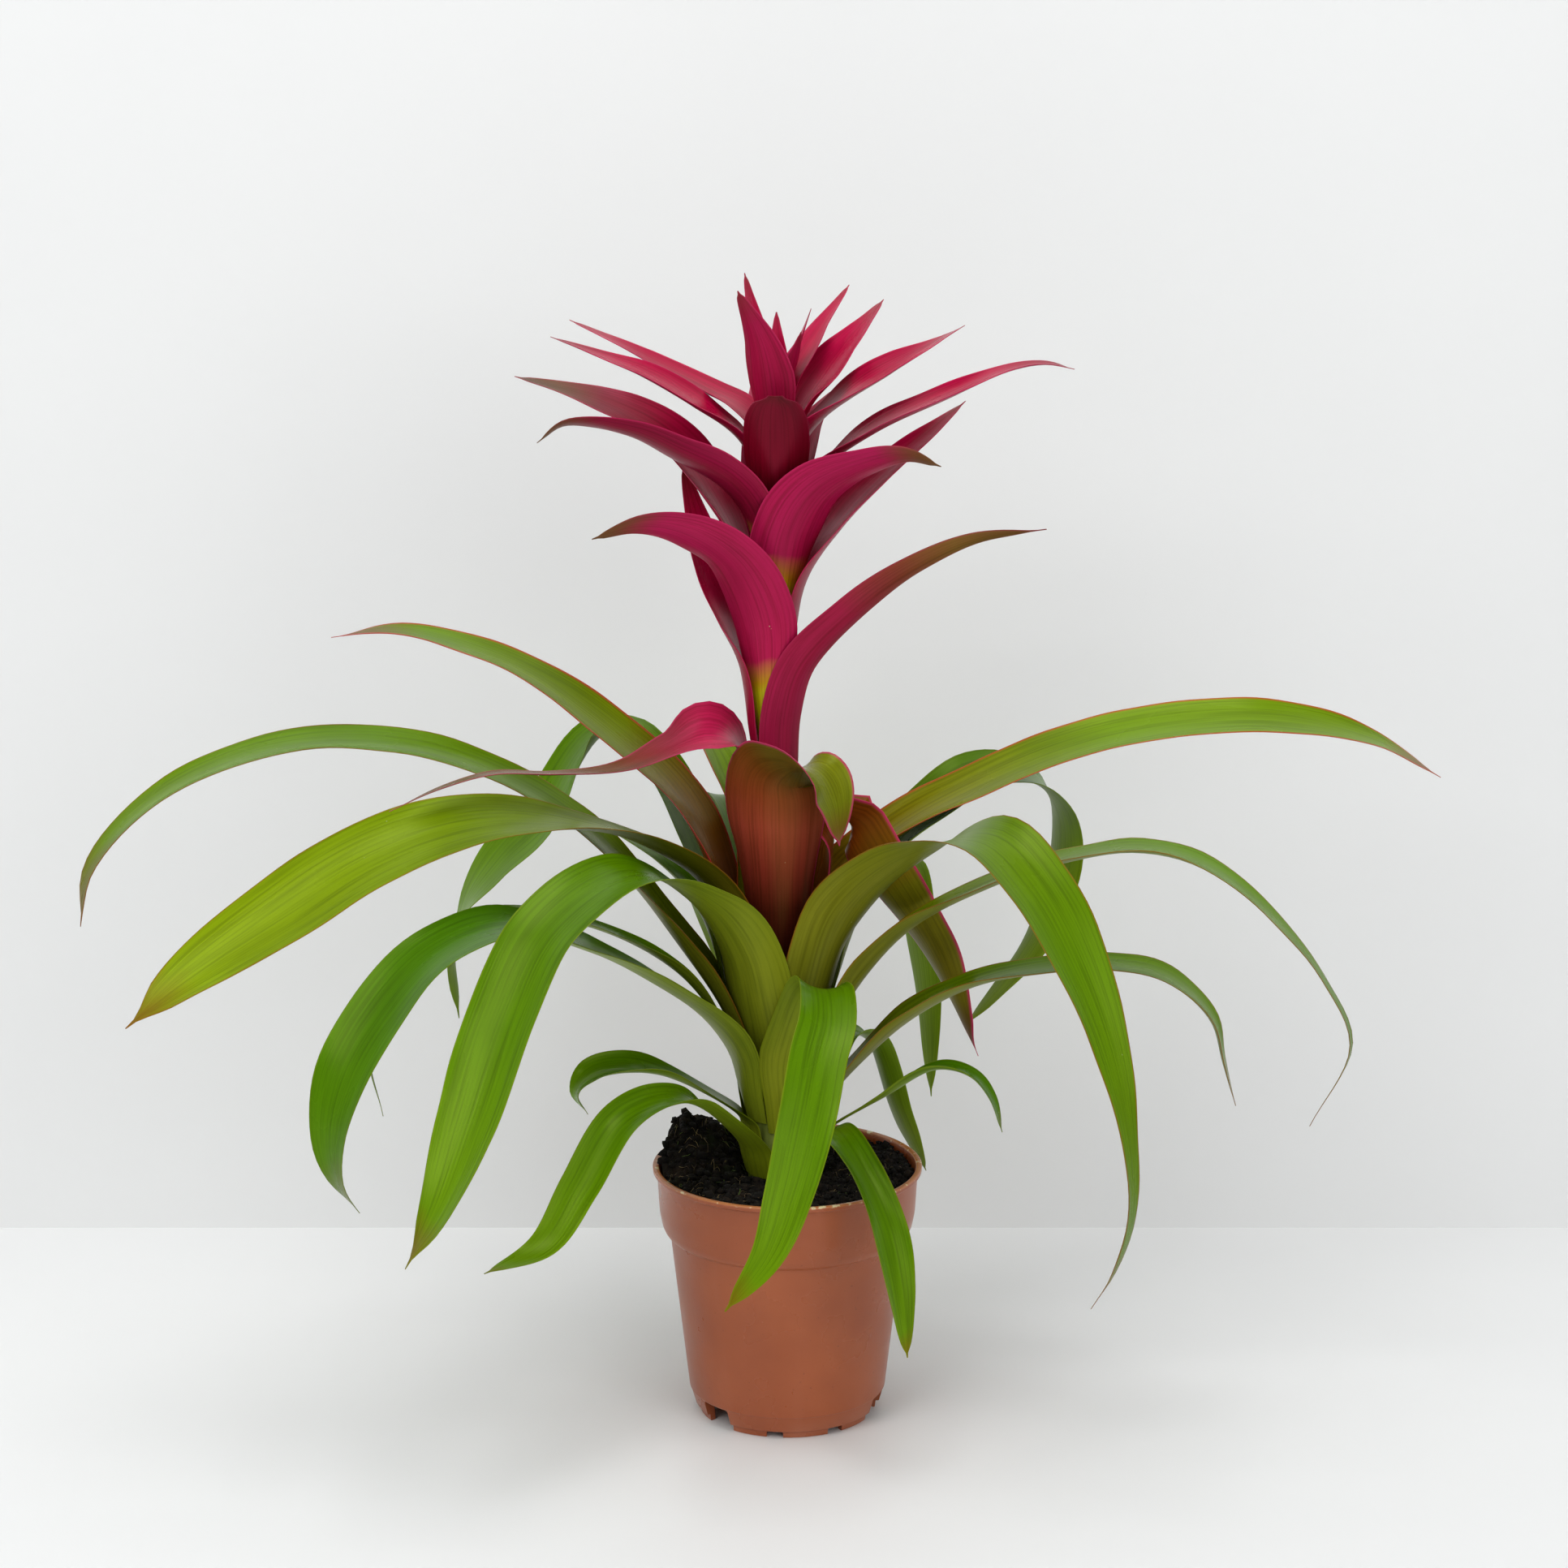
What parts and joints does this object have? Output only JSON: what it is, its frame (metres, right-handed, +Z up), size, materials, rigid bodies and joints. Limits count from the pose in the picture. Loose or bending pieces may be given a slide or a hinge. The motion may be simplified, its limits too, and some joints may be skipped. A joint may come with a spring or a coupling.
{
  "type": "potted guzmania",
  "caption": "A bromeliad houseplant in a round nursery pot: arching strap leaves round a short stock, with a tall head of magenta bracts above them.",
  "frame": {"origin": "The middle of the pot's foot, on the surface that the pot stands on. It is also, within the leaves' natural unevenness, below the middle of the whole plant's box.", "axes": "+Z is up along the pot's axis and the flower stalk. +X points to the plant's right as it is seen from its display side, and is its widest direction. -Y points out of the display side, and Y is the shortest direction."},
  "size_m": [0.5944, 0.3072, 0.5071],
  "materials": {
    "pot_plastic": "satin terracotta-brown moulded plastic, slightly worn on the rim",
    "compost": "damp dark peat compost, crumbly, with fibres",
    "stem": "smooth green stalk",
    "leaf": "smooth green leaf with fine veins along it, softly glossy",
    "upper_leaf": "smooth olive leaf, reddish-brown towards its base, softly glossy",
    "bract": "smooth magenta bract with fine veins along it, softly glossy"
  },
  "bodies": {
    "root": {"pot": "pot_plastic", "stem": "stem", "soil": "compost", "leaf_front_left_low": "leaf", "leaf_front_right_low": "leaf", "leaf_back_right_low": "leaf", "leaf_right_thin_low": "leaf", "leaf_left_short_low": "leaf", "leaf_back_low": "leaf", "leaf_right_low": "leaf", "leaf_front": "leaf", "leaf_left_mid": "leaf", "leaf_back_right_mid": "leaf", "leaf_left_thin": "leaf", "leaf_left_long": "leaf", "leaf_right_long": "leaf", "leaf_left_behind": "leaf", "leaf_front_left_big": "leaf", "leaf_back_right_folded": "leaf", "leaf_front_right_big": "leaf", "leaf_back_left_droop": "leaf", "leaf_left_broad": "leaf", "leaf_back": "leaf", "leaf_back_left": "leaf", "upper_leaf_left": "upper_leaf", "upper_leaf_right": "upper_leaf", "upper_leaf_back_left": "upper_leaf", "upper_leaf_back_right": "upper_leaf", "upper_leaf_front": "upper_leaf", "bract_left_low": "bract", "bract_front_right_low": "bract", "bract_left_inner": "bract", "bract_front_left_mid": "bract", "bract_back_low": "bract", "bract_right_under": "bract", "bract_front_right_mid": "bract", "bract_left_mid": "bract", "bract_back_mid": "bract", "bract_front_left_high": "bract", "bract_right_high": "bract", "bract_back_right": "bract", "bract_front_scoop": "bract", "bract_left_high": "bract", "bract_back_left": "bract", "bract_right_upper": "bract", "bract_right_top": "bract", "bract_front_left_top": "bract", "bract_back_top": "bract", "bract_back_right_top": "bract", "crown": "bract"}
  },
  "joints": []
}
